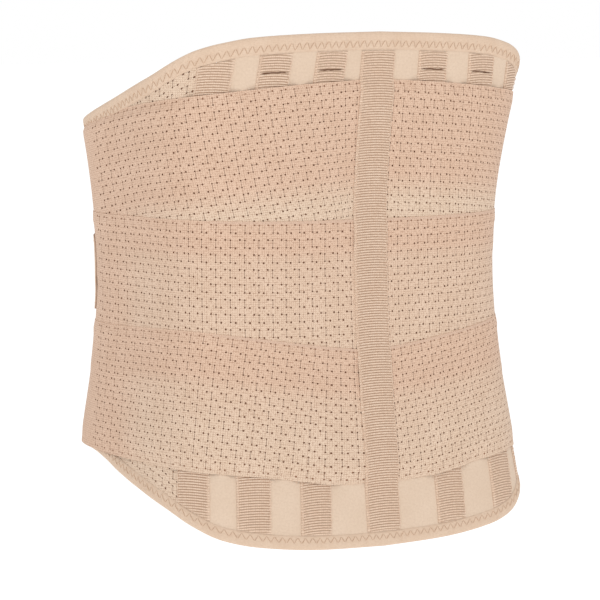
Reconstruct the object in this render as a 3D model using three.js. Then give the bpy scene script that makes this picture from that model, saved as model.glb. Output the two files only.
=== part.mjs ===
import * as THREE from 'three';

// A thoracolumbar brace in its worn form, in millimetres, +Z up.
// The back faces +Y, the left side is +X, and the origin lies on the axis of the hollow, at the waist.
// Each cloth piece is a thin wall that follows the hollow's form at its own layer.

// Cloth, layers and tapes
const CLOTH = 1.2;
const LAYER_GAP = 0.3;
const LAYER = CLOTH + LAYER_GAP;
const SEAM_GAP = 0.3;
const STRAP_WIDTH = 25;
const STAY_WIDTH = 22;
const BINDING_TAPE = 1;
const BINDING_LEG = { top: 10, bottom: 7.6 };
const STAY_INSET = { top: 11, bottom: 8.4 };
const SLIT_WIDTH = 16;
const SLIT_HEIGHT = 1.2;
const SLIT_DROP = 11;

// How many layers lie between the hollow and each kind of piece
const PANEL_LAYER = 0;
const STAY_LAYER = 1;
const BAND_LAYER = 2;
const LAPPED_BAND_LAYER = 3;
const OVER_FLAP_LAYER = 1;
const TONGUE_LAYER = 4;

// Where a band leaves the hem of the band under it, and how far it takes to come down
const LAP_CLEAR = 1;
const LAP_RAMP = 7;
const STRAP_CLEAR = 1.5;
const STRAP_RAMP = 5;

// Sections of the hollow: half width, and reach behind and in front of the axis
const BACK_SQUARENESS = 4.1;
const FRONT_SQUARENESS = 3.2;
const HOLLOW = [
  { height: -200, halfWidth: 141, behind: 118, before: 108 },
  { height: -150, halfWidth: 137, behind: 114, before: 105 },
  { height: -100, halfWidth: 129, behind: 107, before: 100 },
  { height: -50, halfWidth: 122, behind: 99, before: 95.5 },
  { height: 0, halfWidth: 118.5, behind: 95.5, before: 95.5 },
  { height: 50, halfWidth: 121.5, behind: 94, before: 97.5 },
  { height: 100, halfWidth: 129.5, behind: 99, before: 99 },
  { height: 150, halfWidth: 140, behind: 107.5, before: 105 },
  { height: 200, halfWidth: 147, behind: 114, before: 110 },
];

// Edges of the brace: height against the distance around from the middle of the back to the left.
// On the right the same edges turn a little nearer to the middle
const RIGHT_EDGE_REACH = 1.07;
const TOP_EDGE = [
  { around: 0, height: 157.8 },
  { around: 50, height: 156.6 },
  { around: 90, height: 154.2 },
  { around: 110, height: 150.6 },
  { around: 120, height: 147.9 },
  { around: 128, height: 145 },
  { around: 143, height: 137.3 },
  { around: 153, height: 132.2 },
  { around: 165, height: 127.5 },
  { around: 196, height: 117.4 },
  { around: 232, height: 106.9 },
  { around: 250, height: 102.6 },
  { around: 265, height: 100.5 },
  { around: 310, height: 97 },
  { around: 430, height: 91 },
];
const BOTTOM_EDGE = [
  { around: 0, height: -166.7 },
  { around: 40, height: -165.5 },
  { around: 62, height: -164 },
  { around: 88, height: -160.9 },
  { around: 102, height: -158.4 },
  { around: 116, height: -154.4 },
  { around: 131, height: -147.4 },
  { around: 149, height: -138.8 },
  { around: 174, height: -131 },
  { around: 190, height: -127 },
  { around: 208, height: -122.2 },
  { around: 223, height: -117.4 },
  { around: 240, height: -113.6 },
  { around: 258, height: -112.2 },
  { around: 310, height: -110 },
  { around: 430, height: -104 },
];

// Elastic bands: each is cut wide at the back and lies over the hem of the band named in lapsOver
const BANDS = [
  {
    name: 'upper_band',
    colour: 0xe0bd99,
    lapsOver: null,
    top: [
      { around: 0, height: 129.5 },
      { around: 60, height: 125.8 },
      { around: 90, height: 123 },
      { around: 110, height: 120.8 },
      { around: 130, height: 118.3 },
      { around: 178, height: 112 },
      { around: 214, height: 106.4 },
      { around: 234, height: 102.6 },
      { around: 262, height: 98.5 },
      { around: 310, height: 96 },
    ],
    hem: [
      { around: 0, height: 29 },
      { around: 125, height: 18 },
      { around: 210, height: 3 },
      { around: 310, height: -3 },
    ],
  },
  {
    name: 'middle_band',
    colour: 0xdfb995,
    lapsOver: 'upper_band',
    top: [
      { around: 0, height: 40 },
      { around: 60, height: 40.4 },
      { around: 110, height: 41.4 },
      { around: 154, height: 41.4 },
      { around: 226, height: 40.2 },
      { around: 310, height: 40 },
    ],
    hem: [
      { around: 0, height: -66 },
      { around: 125, height: -61 },
      { around: 310, height: -59 },
    ],
  },
  {
    name: 'lower_band',
    colour: 0xdebb96,
    lapsOver: 'middle_band',
    top: [
      { around: 0, height: -43.2 },
      { around: 15, height: -42 },
      { around: 37, height: -39.3 },
      { around: 56, height: -36.4 },
      { around: 90, height: -31.2 },
      { around: 118, height: -28.4 },
      { around: 157, height: -29 },
      { around: 211, height: -31.5 },
      { around: 310, height: -32 },
    ],
    hem: [
      { around: 0, height: -128 },
      { around: 38, height: -126 },
      { around: 61, height: -122.2 },
      { around: 90, height: -117.8 },
      { around: 136, height: -114.6 },
      { around: 173, height: -114.2 },
      { around: 225, height: -113.6 },
      { around: 252, height: -113 },
      { around: 310, height: -112 },
    ],
  },
];

// Webbing channels for the stays: distance around from the middle of the back, at two heights
const STAY_HIGH = 150;
const STAY_LOW = -165;
const STAYS = [
  { name: 'stay_channel_left_1', high: 34, low: 50.5, slit: true },
  { name: 'stay_channel_left_2', high: 73, low: 93, slit: true },
  { name: 'stay_channel_left_3', high: 110.5, low: 131.5, slit: false },
  { name: 'stay_channel_right_1', high: -41.3, low: -53, slit: true },
  { name: 'stay_channel_right_2', high: -80.6, low: -100.5, slit: true },
  { name: 'stay_channel_right_3', high: -117, low: -137.5, slit: false },
];

// Front flaps: top and bottom against the distance from the seam where the side panel ends
const UNDER_FLAP = [
  { along: 0, top: 97, bottom: -110 },
  { along: 60, top: 93, bottom: -105 },
  { along: 120, top: 84, bottom: -96 },
  { along: 180, top: 62, bottom: -70 },
];
const OVER_FLAP = [
  { along: 0, top: 97, bottom: -110 },
  { along: 60, top: 91, bottom: -104 },
  { along: 115, top: 78, bottom: -90 },
  { along: 165, top: 58, bottom: -66 },
  { along: 200, top: 38, bottom: -41 },
  { along: 218, top: 25, bottom: -27 },
  { along: 250, top: 25, bottom: -26 },
];

// Lines down the cloth that every piece shares, counted outward from the middle of the back
const BAND_END = 0;
const STRAP_EDGE = 1;
const STAY_INNER = [2, 4, 6];
const PANEL_SEAM = 7;
const LAST_STAY = 8;
const STAY_OUTER = [3, 5, LAST_STAY];
const FRONT_LINES = 17;
const TONGUE_TIP = LAST_STAY + 8;
const FLAP_SEAM = LAST_STAY + 9;
const BAND_FRONT = LAST_STAY + 10;
const OVER_FLAP_RISE = LAST_STAY + 12;
const UNDER_FLAP_END = LAST_STAY + 13;
const FRONT_MIDDLE = LAST_STAY + FRONT_LINES;
const BAND_END_GAP = 1;

// Rows of cells from top to bottom
const BACK_CELLS = 18;
const SIDE_CELLS = 13;
const FLAP_CELLS = 12;
const STAY_CELLS = 17;
const BAND_CELLS = 6;
const LAP_CELLS = 2;
const BAND_LOWER_CELLS = 5;
const STRAP_STEP = 15;

const COLOURS = {
  knit: 0xe8cfb1,
  perforated: 0xe6cba6,
  webbing: 0xd3b08d,
  binding: 0xe7c8a3,
  flap: 0xe0c09c,
};

// Smooth curve through a table's rows, level past both ends
function curveAt(rows, xName, yName, x) {
  const last = rows.length - 1;
  if (x <= rows[0][xName]) return rows[0][yName];
  if (x >= rows[last][xName]) return rows[last][yName];
  const i = rows.findIndex((row) => row[xName] > x) - 1;
  const slopeAt = (k) => {
    const before = rows[Math.max(k - 1, 0)];
    const after = rows[Math.min(k + 1, last)];
    return (after[yName] - before[yName]) / (after[xName] - before[xName]);
  };
  const width = rows[i + 1][xName] - rows[i][xName];
  const t = (x - rows[i][xName]) / width;
  const start = rows[i][yName] + width * slopeAt(i) * t * (1 - t);
  const end = rows[i + 1][yName] - width * slopeAt(i + 1) * t * (1 - t);
  const ease = t * t * (3 - 2 * t);
  return start * (1 - t) + end * t + (ease - t) * (rows[i + 1][yName] - rows[i][yName]);
}

// The hollow's outline at a height: a squarish oval with a flatter back and a rounder front
function sectionAt(height) {
  return {
    halfWidth: curveAt(HOLLOW, 'height', 'halfWidth', height),
    behind: curveAt(HOLLOW, 'height', 'behind', height),
    before: curveAt(HOLLOW, 'height', 'before', height),
  };
}

function outlinePoint(section, angle, offset) {
  const s = Math.sin(angle);
  const c = Math.cos(angle);
  const reach = c >= 0 ? section.behind : section.before;
  const squareness = c >= 0 ? BACK_SQUARENESS : FRONT_SQUARENESS;
  const across = Math.abs(s) / section.halfWidth;
  const deep = Math.abs(c) / reach;
  const radius = (across ** squareness + deep ** squareness) ** (-1 / squareness);
  const normal = new THREE.Vector2(
    (Math.sign(s) * across ** (squareness - 1)) / section.halfWidth,
    (Math.sign(c) * deep ** (squareness - 1)) / reach,
  ).normalize();
  return new THREE.Vector2(radius * s, radius * c).addScaledVector(normal, offset);
}

// Lengths around half of the outline, from the middle of the back to the middle of the front
const ARC_STEPS = 240;
const arcs = new Map();
function arcAt(height) {
  const key = height.toFixed(4);
  if (!arcs.has(key)) {
    const section = sectionAt(height);
    const lengths = [0];
    let previous = outlinePoint(section, 0, 0);
    for (let step = 1; step <= ARC_STEPS; step += 1) {
      const next = outlinePoint(section, (Math.PI * step) / ARC_STEPS, 0);
      lengths.push(lengths[step - 1] + next.distanceTo(previous));
      previous = next;
    }
    arcs.set(key, lengths);
  }
  return arcs.get(key);
}

const halfGirth = (height) => arcAt(height)[ARC_STEPS];

function angleAt(around, height) {
  const lengths = arcAt(height);
  const distance = Math.min(Math.abs(around), lengths[ARC_STEPS]);
  let step = 1;
  while (step < ARC_STEPS && lengths[step] < distance) step += 1;
  const share = (distance - lengths[step - 1]) / (lengths[step] - lengths[step - 1]);
  return (Math.sign(around) * Math.PI * (step - 1 + share)) / ARC_STEPS;
}

function wallPoint(around, height, offset) {
  const point = outlinePoint(sectionAt(height), angleAt(around, height), offset);
  return new THREE.Vector3(point.x, point.y, height);
}

// A line down the cloth gives the distance around at a height, plus to the left and minus to the right
function stayAround(stay, height) {
  const share = (height - STAY_LOW) / (STAY_HIGH - STAY_LOW);
  return stay.low + (stay.high - stay.low) * share;
}

function linesOfSide(side) {
  const stays = STAYS.filter((stay) => Math.sign(stay.high) === side);
  const beside = (stay, shift) => (height) => stayAround(stay, height) + side * shift;
  const [inner, middle, outer] = stays;
  const lines = [
    () => side * BAND_END_GAP,
    () => (side * STRAP_WIDTH) / 2,
    beside(inner, -STAY_WIDTH / 2),
    beside(inner, STAY_WIDTH / 2),
    beside(middle, -STAY_WIDTH / 2),
    beside(middle, STAY_WIDTH / 2),
    beside(outer, -STAY_WIDTH / 2),
    beside(outer, 0),
    beside(outer, STAY_WIDTH / 2),
  ];
  const lastStay = lines[lines.length - 1];
  for (let step = 1; step <= FRONT_LINES; step += 1) {
    const share = step / FRONT_LINES;
    lines.push((height) => {
      const start = Math.abs(lastStay(height));
      return side * (start + (halfGirth(height) - start) * share);
    });
  }
  return lines;
}

const LEFT = linesOfSide(1);
const RIGHT = linesOfSide(-1);

const shifted = (line, shift) => (height) => line(height) + shift;
const placeOn = (line) => (height, offset) => wallPoint(line(height), height, offset);
const placeBetween = (start, end, share) => (height, offset) =>
  placeOn(start)(height, offset).lerp(placeOn(end)(height, offset), share);

// The height at which a line crosses an edge
const EDGE_ROUNDS = 8;
function edgeOn(line, edge) {
  let height = 0;
  for (let round = 0; round < EDGE_ROUNDS; round += 1) {
    const around = line(height);
    height = curveAt(edge, 'around', 'height', around < 0 ? -around * RIGHT_EDGE_REACH : around);
  }
  return height;
}

function evenRows(top, bottom, cells, layer) {
  const rows = [];
  for (let row = 0; row <= cells; row += 1) {
    rows.push({ height: top + ((bottom - top) * row) / cells, layer });
  }
  return rows;
}

// A closed solid from vertices and triangles, turned so that its faces point out
function solid(name, colour, points, triangles) {
  let volume = 0;
  for (const [a, b, c] of triangles) {
    volume += points[a].dot(new THREE.Vector3().crossVectors(points[b], points[c]));
  }
  const facing = volume >= 0 ? triangles : triangles.map(([a, b, c]) => [a, c, b]);
  const geometry = new THREE.BufferGeometry();
  geometry.setAttribute('position', new THREE.Float32BufferAttribute(points.flatMap((p) => p.toArray()), 3));
  geometry.setIndex(facing.flat());
  geometry.computeVertexNormals();
  const material = new THREE.MeshStandardMaterial({ color: colour, roughness: 0.9, metalness: 0 });
  const mesh = new THREE.Mesh(geometry, material);
  mesh.name = name;
  return mesh;
}

// A cloth wall over columns of rows, with walls round its border and round every cell left open
function cloth(name, colour, columns, isOpen = () => false) {
  const rowCount = columns[0].rows.length;
  const points = [];
  for (const column of columns) {
    for (const row of column.rows) {
      points.push(column.place(row.height, row.layer * LAYER));
      points.push(column.place(row.height, row.layer * LAYER + CLOTH));
    }
  }
  const inner = (column, row) => 2 * (column * rowCount + row);
  const outer = (column, row) => inner(column, row) + 1;
  const isCloth = (column, row) => column >= 0 && row >= 0 && column < columns.length - 1
    && row < rowCount - 1 && !isOpen(column, row);
  const triangles = [];
  const quad = (a, b, c, d) => triangles.push([a, b, c], [a, c, d]);
  for (let column = 0; column < columns.length - 1; column += 1) {
    for (let row = 0; row < rowCount - 1; row += 1) {
      if (!isCloth(column, row)) continue;
      const corners = [[column, row], [column + 1, row], [column + 1, row + 1], [column, row + 1]];
      const beyond = [[column, row - 1], [column + 1, row], [column, row + 1], [column - 1, row]];
      quad(...corners.map((corner) => outer(...corner)));
      quad(...corners.map((corner) => inner(...corner)).reverse());
      beyond.forEach((cell, side) => {
        if (isCloth(...cell)) return;
        const from = corners[side];
        const to = corners[(side + 1) % 4];
        quad(outer(...to), outer(...from), inner(...from), inner(...to));
      });
    }
  }
  // Corners of an open cell that no wall uses are left out
  const used = [...new Set(triangles.flat())].sort((a, b) => a - b);
  const renumber = new Map(used.map((old, index) => [old, index]));
  const kept = used.map((old) => points[old]);
  return solid(name, colour, kept, triangles.map((triangle) => triangle.map((old) => renumber.get(old))));
}

// Innermost panels: a knit back between the outer stays, and a perforated side on each flank
function panel(name, colour, lines, cells) {
  const columns = lines.map((line) => ({
    place: placeOn(line),
    rows: evenRows(edgeOn(line, TOP_EDGE), edgeOn(line, BOTTOM_EDGE), cells, PANEL_LAYER),
  }));
  return cloth(name, colour, columns);
}

function backPanel() {
  const half = (lines, side) => [
    ...lines.slice(STRAP_EDGE, PANEL_SEAM),
    shifted(lines[PANEL_SEAM], (-side * SEAM_GAP) / 2),
  ];
  return panel('back_panel', COLOURS.knit, [...half(RIGHT, -1).reverse(), ...half(LEFT, 1)], BACK_CELLS);
}

function sidePanel(name, lines, side) {
  const columns = [
    shifted(lines[PANEL_SEAM], (side * SEAM_GAP) / 2),
    ...lines.slice(PANEL_SEAM + 1, FLAP_SEAM),
    shifted(lines[FLAP_SEAM], (-side * SEAM_GAP) / 2),
  ];
  return panel(name, COLOURS.perforated, columns, SIDE_CELLS);
}

// Front flaps: the left one lies under, the right one over it with its tongue on the left flank
function flap(name, columns, outline) {
  let along = 0;
  let previous = null;
  const placed = columns.map(({ line, layer }) => {
    const place = placeOn(line);
    const middle = place(0, 0);
    along += previous ? middle.distanceTo(previous) : 0;
    previous = middle;
    const top = curveAt(outline, 'along', 'top', along);
    const bottom = curveAt(outline, 'along', 'bottom', along);
    return { place, rows: evenRows(top, bottom, FLAP_CELLS, layer) };
  });
  return cloth(name, COLOURS.flap, placed);
}

function underFlap() {
  const lines = [
    shifted(LEFT[FLAP_SEAM], SEAM_GAP / 2),
    ...LEFT.slice(FLAP_SEAM + 1, FRONT_MIDDLE + 1),
    ...RIGHT.slice(UNDER_FLAP_END, FRONT_MIDDLE).reverse(),
  ];
  return flap('front_panel_left', lines.map((line) => ({ line, layer: PANEL_LAYER })), UNDER_FLAP);
}

function overFlap() {
  const ownSide = RIGHT.slice(FLAP_SEAM, FRONT_MIDDLE + 1).map((line, index) => ({
    line: index === 0 ? shifted(line, -SEAM_GAP / 2) : line,
    layer: FLAP_SEAM + index < OVER_FLAP_RISE ? PANEL_LAYER : OVER_FLAP_LAYER,
  }));
  const farSide = LEFT.slice(TONGUE_TIP, FRONT_MIDDLE).map((line, index) => ({
    line,
    layer: TONGUE_TIP + index > BAND_FRONT ? OVER_FLAP_LAYER : TONGUE_LAYER,
  })).reverse();
  return flap('front_panel_right', [...ownSide, ...farSide], OVER_FLAP);
}

// Elastic bands, from the middle of the back to the front of the flank
function bandRows(band, line) {
  const top = edgeOn(line, band.top);
  const hem = edgeOn(line, band.hem);
  const under = BANDS.find((other) => other.name === band.lapsOver);
  if (!under) return evenRows(top, hem, BAND_CELLS, BAND_LAYER);
  const lapEnd = edgeOn(line, under.hem) - LAP_CLEAR;
  return [
    ...evenRows(top, lapEnd, LAP_CELLS, LAPPED_BAND_LAYER),
    ...evenRows(lapEnd - LAP_RAMP, hem, BAND_LOWER_CELLS, BAND_LAYER),
  ];
}

function elasticBand(band, lines, sideName) {
  const columns = lines.slice(BAND_END, BAND_FRONT + 1).map((line) => ({
    place: placeOn(line),
    rows: bandRows(band, line),
  }));
  return cloth(`${band.name}_${sideName}`, band.colour, columns);
}

// Stay channels: webbing on the panels, open at a slit near the top where a stay slides in
function stayChannel(stay) {
  const side = Math.sign(stay.high);
  const lines = side > 0 ? LEFT : RIGHT;
  const order = Number(stay.name.at(-1)) - 1;
  const inner = lines[STAY_INNER[order]];
  const outer = lines[STAY_OUTER[order]];
  const slitShare = (STAY_WIDTH - SLIT_WIDTH) / 2 / STAY_WIDTH;
  const middle = stay.slit ? [slitShare, 1 - slitShare] : [0.5];
  const columns = [0, ...middle, 1].map((share) => {
    const line = (height) => inner(height) * (1 - share) + outer(height) * share;
    const top = edgeOn(line, TOP_EDGE) - STAY_INSET.top;
    const bottom = edgeOn(line, BOTTOM_EDGE) + STAY_INSET.bottom;
    const slitTop = top - SLIT_DROP;
    return {
      place: stay.slit ? placeBetween(inner, outer, share) : placeOn(line),
      rows: [
        { height: top, layer: STAY_LAYER },
        { height: slitTop, layer: STAY_LAYER },
        ...evenRows(slitTop - SLIT_HEIGHT, bottom, STAY_CELLS, STAY_LAYER),
      ],
    };
  });
  const isSlit = (column, row) => stay.slit && column === 1 && row === 1;
  return cloth(stay.name, COLOURS.webbing, columns, isSlit);
}

// The strap down the middle of the back covers the bands' ends and steps up over each of them
function centerStrap() {
  const edge = LEFT[STRAP_EDGE];
  const [upper, middle, lower] = BANDS.map((band) => ({
    top: edgeOn(edge, band.top) + STRAP_CLEAR,
    hem: edgeOn(edge, band.hem) - STRAP_CLEAR,
  }));
  const overBand = BAND_LAYER + 1;
  const overLap = LAPPED_BAND_LAYER + 1;
  const steps = [
    { height: edgeOn(edge, TOP_EDGE) - STAY_INSET.top, layer: STAY_LAYER },
    { height: upper.top + STRAP_RAMP, layer: STAY_LAYER },
    { height: upper.top, layer: overBand },
    { height: middle.top + STRAP_RAMP, layer: overBand },
    { height: middle.top, layer: overLap },
    { height: upper.hem - LAP_CLEAR, layer: overLap },
    { height: upper.hem - LAP_CLEAR - LAP_RAMP, layer: overBand },
    { height: lower.top + STRAP_RAMP, layer: overBand },
    { height: lower.top, layer: overLap },
    { height: middle.hem - LAP_CLEAR, layer: overLap },
    { height: middle.hem - LAP_CLEAR - LAP_RAMP, layer: overBand },
    { height: lower.hem, layer: overBand },
    { height: lower.hem - STRAP_RAMP, layer: STAY_LAYER },
    { height: edgeOn(edge, BOTTOM_EDGE) + STAY_INSET.bottom, layer: STAY_LAYER },
  ];
  const rows = steps.slice(0, 1);
  for (let step = 1; step < steps.length; step += 1) {
    const from = steps[step - 1];
    const to = steps[step];
    const cells = Math.ceil((from.height - to.height) / STRAP_STEP);
    for (let cell = 1; cell <= cells; cell += 1) {
      const share = cell / cells;
      rows.push({
        height: from.height + (to.height - from.height) * share,
        layer: from.layer + (to.layer - from.layer) * share,
      });
    }
  }
  const columns = [RIGHT[STRAP_EDGE], edge].map((line) => ({ place: placeOn(line), rows }));
  return cloth('center_strap', COLOURS.webbing, columns);
}

// Bindings: an elastic tape folded over the panels' edge, one leg outside and one inside
function binding(name, edge, leg, up) {
  const lines = [
    ...RIGHT.slice(STRAP_EDGE, FLAP_SEAM + 1).reverse(),
    ...LEFT.slice(STRAP_EDGE, FLAP_SEAM + 1),
  ];
  const legEnd = -up * leg;
  const fold = up * SEAM_GAP;
  const crest = up * (SEAM_GAP + BINDING_TAPE);
  const outside = LAYER + BINDING_TAPE;
  const inside = -LAYER_GAP - BINDING_TAPE;
  const profile = [
    { offset: outside, rise: legEnd },
    { offset: outside, rise: crest },
    { offset: inside, rise: crest },
    { offset: inside, rise: legEnd },
    { offset: -LAYER_GAP, rise: legEnd },
    { offset: -LAYER_GAP, rise: fold },
    { offset: LAYER, rise: fold },
    { offset: LAYER, rise: legEnd },
  ];
  const points = [];
  for (const line of lines) {
    const height = edgeOn(line, edge);
    for (const { offset, rise } of profile) {
      points.push(wallPoint(line(height + rise), height + rise, offset));
    }
  }
  const size = profile.length;
  const triangles = [];
  const quad = (a, b, c, d) => triangles.push([a, b, c], [a, c, d]);
  for (let ring = 0; ring < lines.length - 1; ring += 1) {
    for (let corner = 0; corner < size; corner += 1) {
      const next = (corner + 1) % size;
      quad(ring * size + corner, ring * size + next, (ring + 1) * size + next, (ring + 1) * size + corner);
    }
  }
  const last = (lines.length - 1) * size;
  for (const [a, b, c, d] of [[0, 1, 6, 7], [1, 2, 5, 6], [2, 3, 4, 5]]) {
    quad(d, c, b, a);
    quad(last + a, last + b, last + c, last + d);
  }
  return solid(name, COLOURS.binding, points, triangles);
}

const brace = new THREE.Group();
brace.add(backPanel(), sidePanel('side_panel_left', LEFT, 1), sidePanel('side_panel_right', RIGHT, -1));
brace.add(underFlap(), overFlap());
for (const stay of STAYS) brace.add(stayChannel(stay));
for (const band of BANDS) brace.add(elasticBand(band, LEFT, 'left'), elasticBand(band, RIGHT, 'right'));
brace.add(centerStrap());
brace.add(binding('top_binding', TOP_EDGE, BINDING_LEG.top, 1));
brace.add(binding('bottom_binding', BOTTOM_EDGE, BINDING_LEG.bottom, -1));

export default brace;
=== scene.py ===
import math

import bmesh
import bpy
import numpy as np
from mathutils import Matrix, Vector
from mathutils.geometry import delaunay_2d_cdt


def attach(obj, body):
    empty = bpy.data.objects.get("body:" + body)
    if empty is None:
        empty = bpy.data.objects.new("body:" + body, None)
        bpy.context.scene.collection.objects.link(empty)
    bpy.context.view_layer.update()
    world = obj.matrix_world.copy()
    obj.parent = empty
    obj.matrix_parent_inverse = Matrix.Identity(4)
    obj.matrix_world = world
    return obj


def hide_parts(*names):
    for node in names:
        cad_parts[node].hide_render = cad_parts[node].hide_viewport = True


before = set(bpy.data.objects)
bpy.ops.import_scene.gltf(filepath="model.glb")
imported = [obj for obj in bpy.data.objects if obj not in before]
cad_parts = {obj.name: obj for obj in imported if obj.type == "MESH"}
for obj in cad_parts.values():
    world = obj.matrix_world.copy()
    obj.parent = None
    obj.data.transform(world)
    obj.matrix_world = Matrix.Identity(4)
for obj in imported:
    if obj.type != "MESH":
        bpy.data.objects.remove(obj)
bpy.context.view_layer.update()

# Back panel: one piece of smooth stretch knit, from the upper edge of the brace to the lower one.
# It is the innermost layer, its two side seams run under the outer stay channels,
# and the stays, bands and strap are all sewn on over it.
CLOTH = 0.0012
# From one layer of cloth to the next
LAYER = 0.0015
SHARP_ANGLE = math.radians(40)
# Powers of the hollow's outline behind and before its axis: 2 is an oval, and more is squarer
BACK_SQUARENESS = 4.1
FRONT_SQUARENESS = 3.2
# Sections of the hollow: height, half width, reach behind the axis and reach before it
HOLLOW = (
    (-0.200, 0.1410, 0.1180, 0.1080),
    (-0.150, 0.1370, 0.1140, 0.1050),
    (-0.100, 0.1290, 0.1070, 0.1000),
    (-0.050, 0.1220, 0.0990, 0.0955),
    (0.000, 0.1185, 0.0955, 0.0955),
    (0.050, 0.1215, 0.0940, 0.0975),
    (0.100, 0.1295, 0.0990, 0.0990),
    (0.150, 0.1400, 0.1075, 0.1050),
    (0.200, 0.1470, 0.1140, 0.1100),
)
# Distance around from the middle of the back to the left, and height.
# On the right the same edges turn a little nearer to the middle
RIGHT_EDGE_REACH = 1.07
TOP_EDGE = (
    (0.000, 0.1578), (0.050, 0.1566), (0.090, 0.1542), (0.110, 0.1506), (0.120, 0.1479),
    (0.128, 0.1450), (0.143, 0.1373), (0.153, 0.1322), (0.165, 0.1275), (0.196, 0.1174),
    (0.232, 0.1069), (0.250, 0.1026), (0.265, 0.1005), (0.310, 0.0970), (0.430, 0.0910),
)
BOTTOM_EDGE = (
    (0.000, -0.1667), (0.040, -0.1655), (0.062, -0.1640), (0.088, -0.1609), (0.102, -0.1584),
    (0.116, -0.1544), (0.131, -0.1474), (0.149, -0.1388), (0.174, -0.1310), (0.190, -0.1270),
    (0.208, -0.1222), (0.223, -0.1174), (0.240, -0.1136), (0.258, -0.1122), (0.310, -0.1100),
    (0.430, -0.1040),
)
# Distance around at the stays' upper and lower reference heights, and whether a slit opens the channel
STAY_HIGH = 0.150
STAY_LOW = -0.165
STAYS = {
    "left_1": (0.0340, 0.0505, True),
    "left_2": (0.0730, 0.0930, True),
    "left_3": (0.1105, 0.1315, False),
    "right_1": (-0.0413, -0.0530, True),
    "right_2": (-0.0806, -0.1005, True),
    "right_3": (-0.1170, -0.1375, False),
}
SEAM_GAP = 0.0003
BACK_COLUMNS = 72
BACK_ROWS = 84
# Rounds of closing in on the place where two lines meet
EDGE_ROUNDS = 8
# Height of a hole's floor, as a share of the cloth's thickness
HOLE_FLOOR = 0.45


def curve(rows, x, column=1):
    """A smooth curve through a table's rows, level past both ends."""
    rows = np.asarray(rows)
    xs = rows[:, 0]
    ys = rows[:, column]
    last = len(rows) - 1
    before = np.maximum(np.arange(last + 1) - 1, 0)
    after = np.minimum(np.arange(last + 1) + 1, last)
    slopes = (ys[after] - ys[before]) / (xs[after] - xs[before])
    x = np.clip(x, xs[0], xs[-1])
    i = np.clip(np.searchsorted(xs, x, side="right") - 1, 0, last - 1)
    width = xs[i + 1] - xs[i]
    t = (x - xs[i]) / width
    ease = t * t * (3 - 2 * t)
    bend = width * t * (1 - t) * (slopes[i] * (1 - t) - slopes[i + 1] * t)
    return ys[i] + ease * (ys[i + 1] - ys[i]) + bend


def outline(angle, height, offset):
    """Points of the hollow's squarish outline at a height, moved out by the offset."""
    s = np.sin(angle)
    c = np.cos(angle)
    half_width = curve(HOLLOW, height, 1)
    reach = np.where(c >= 0, curve(HOLLOW, height, 2), curve(HOLLOW, height, 3))
    squareness = np.where(c >= 0, BACK_SQUARENESS, FRONT_SQUARENESS)
    across = np.abs(s) / half_width
    deep = np.abs(c) / reach
    radius = (across**squareness + deep**squareness) ** (-1 / squareness)
    normal_x = np.sign(s) * across ** (squareness - 1) / half_width
    normal_y = np.sign(c) * deep ** (squareness - 1) / reach
    length = np.hypot(normal_x, normal_y)
    return radius * s + offset * normal_x / length, radius * c + offset * normal_y / length


# Angle round the outline for each height and each distance around, worked out once
GIRTH_STEP = 0.001
GIRTH_ROWS = 161
GIRTH_ANGLES = 2001
girth_heights = np.linspace(HOLLOW[0][0], HOLLOW[-1][0], GIRTH_ROWS)
girth_angles = np.linspace(0, math.pi, GIRTH_ANGLES)
girth_x, girth_y = outline(girth_angles[None, :], girth_heights[:, None], 0)
girth_steps = np.hypot(np.diff(girth_x, axis=1), np.diff(girth_y, axis=1))
girth_lengths = np.insert(np.cumsum(girth_steps, axis=1), 0, 0, axis=1)
half_girths = girth_lengths[:, -1]
girth_distances = np.arange(0, half_girths.max() + GIRTH_STEP, GIRTH_STEP)
angle_table = np.array([np.interp(girth_distances, row, girth_angles) for row in girth_lengths])


def lay(around, height, offset):
    """Points of a cloth at a distance around the hollow and a height, stood off from it."""
    around, height, offset = np.broadcast_arrays(around, height, offset)
    up = (height - girth_heights[0]) / (girth_heights[1] - girth_heights[0])
    along = np.abs(around) / GIRTH_STEP
    row = np.clip(up.astype(int), 0, len(girth_heights) - 2)
    column = np.clip(along.astype(int), 0, len(girth_distances) - 2)
    u = along - column
    v = up - row
    lower = angle_table[row, column] * (1 - u) + angle_table[row, column + 1] * u
    upper = angle_table[row + 1, column] * (1 - u) + angle_table[row + 1, column + 1] * u
    angle = np.sign(around) * (lower * (1 - v) + upper * v)
    x, y = outline(angle, height, offset)
    return np.stack([x, y, height], axis=-1)


def stay_around(stay, height):
    """Where the middle line of a stay lies at a height."""
    high, low, _ = STAYS[stay]
    return low + (high - low) * (height - STAY_LOW) / (STAY_HIGH - STAY_LOW)


def edge_height(edge, around):
    """Height of an upper or lower edge of the brace at a distance around."""
    return curve(edge, np.where(around < 0, -RIGHT_EDGE_REACH * around, around))


def meeting(line, edge):
    """Heights at which lines down the cloth meet an edge of the brace."""
    height = edge_height(edge, line(0.0))
    for _ in range(EDGE_ROUNDS):
        height = edge_height(edge, line(height))
    return height


def grid_faces(columns, rows):
    """Four-cornered faces of a grid of points that is counted by columns, facing outward."""
    corner = np.arange((columns + 1) * (rows + 1)).reshape(columns + 1, rows + 1)
    faces = [corner[:-1, :-1], corner[1:, :-1], corner[1:, 1:], corner[:-1, 1:]]
    return np.stack([f.ravel() for f in faces], axis=1)


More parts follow.
